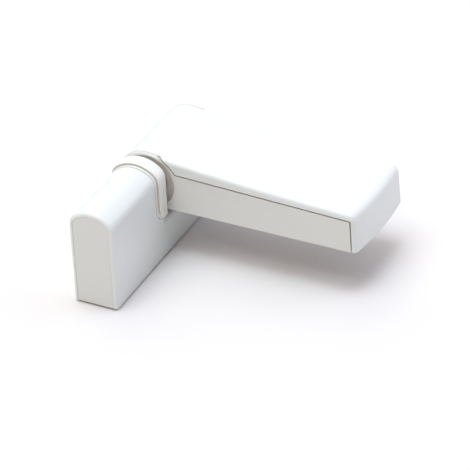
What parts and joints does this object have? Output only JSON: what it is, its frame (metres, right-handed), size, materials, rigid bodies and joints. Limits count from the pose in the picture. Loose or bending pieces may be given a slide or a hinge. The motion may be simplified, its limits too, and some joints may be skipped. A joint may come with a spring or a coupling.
{
  "type": "flag hinge",
  "caption": "White flag hinge for a rebated door or gate: an arched frame block with a long screw-down tail, and a wide hollow-topped flag that swings on the pin behind a collar.",
  "frame": {"origin": "on the face that screws to the door frame, on the pin's centre plane, halfway along the frame part's length", "axes": "+X runs out along the flag, +Y along the pin from the frame block to the flag, +Z away from the door frame"},
  "size_m": [0.1115, 0.092, 0.0455],
  "materials": {
    "white_shell": "satin moulded white",
    "white_cap": "satin moulded white, a shade greyer",
    "zinc_casting": "fine grey die-cast",
    "bright_steel": "ground and zinc plated",
    "steel_screws": "zinc plated",
    "bearing_plastic": "matt natural bearing plastic",
    "brass_bush": "turned"
  },
  "bodies": {
    "frame": {"frame_bracket": "zinc_casting", "frame_cover": "white_shell", "frame_end_cap": "white_cap", "tail_end_cap": "white_cap", "collar": "white_shell", "bush_grub_screw": "steel_screws"},
    "eccentric": {"eccentric_bush": "brass_bush"},
    "sleeve": {"pin_sleeve": "bearing_plastic"},
    "height_adjuster": {"height_screw": "steel_screws", "height_screw_clip": "steel_screws"},
    "lift": {"hinge_pin": "bright_steel", "thrust_ring": "bearing_plastic"},
    "flag": {"flag_arm": "zinc_casting", "front_bush": "bearing_plastic", "rear_bush": "bearing_plastic", "flag_cover": "white_shell", "flag_front_cap": "white_cap", "flag_rear_cap": "white_cap"},
    "sash": {"sash_plate": "bright_steel", "clamp_screw_front": "steel_screws", "clamp_screw_rear": "steel_screws", "clamp_washer_front": "steel_screws", "clamp_washer_rear": "steel_screws"},
    "side_adjuster": {"lateral_screw": "steel_screws", "lateral_screw_clip": "steel_screws"}
  },
  "joints": [
    {"name": "compression_turn", "type": "hinge", "parent": "frame", "child": "eccentric", "pos_m": [-0.0005, -0.03, 0.032], "axis": [0, 1, 0], "range_deg": [-90, 90]},
    {"name": "sleeve_turn", "type": "hinge", "parent": "eccentric", "child": "sleeve", "pos_m": [0, -0.03, 0.032], "axis": [0, 1, 0], "range_deg": [-90, 90]},
    {"name": "height_lift", "type": "slide", "parent": "sleeve", "child": "lift", "axis": [0, 1, 0], "range_m": [0, 0.004]},
    {"name": "height_screw_turn", "type": "hinge", "parent": "sleeve", "child": "height_adjuster", "pos_m": [0, -0.03, 0.032], "axis": [0, 1, 0], "range_deg": [-1800.1, 0]},
    {"name": "swing", "type": "hinge", "parent": "lift", "child": "flag", "pos_m": [0, 0.0243, 0.032], "axis": [0, -1, 0], "range_deg": [0, 180]},
    {"name": "lateral_slide", "type": "slide", "parent": "flag", "child": "sash", "axis": [1, 0, 0], "range_m": [-0.003, 0.003]},
    {"name": "lateral_screw_turn", "type": "hinge", "parent": "flag", "child": "side_adjuster", "pos_m": [0.088, 0.0245, 0.029], "axis": [1, 0, 0], "range_deg": [-1350.1, 1350.1]}
  ],
  "couplings": [
    {"joint": "sleeve_turn", "follows": "compression_turn", "ratio": -1},
    {"joint": "height_screw_turn", "follows": "height_lift", "rad_per_m": -7854},
    {"joint": "lateral_screw_turn", "follows": "lateral_slide", "rad_per_m": -7854}
  ]
}
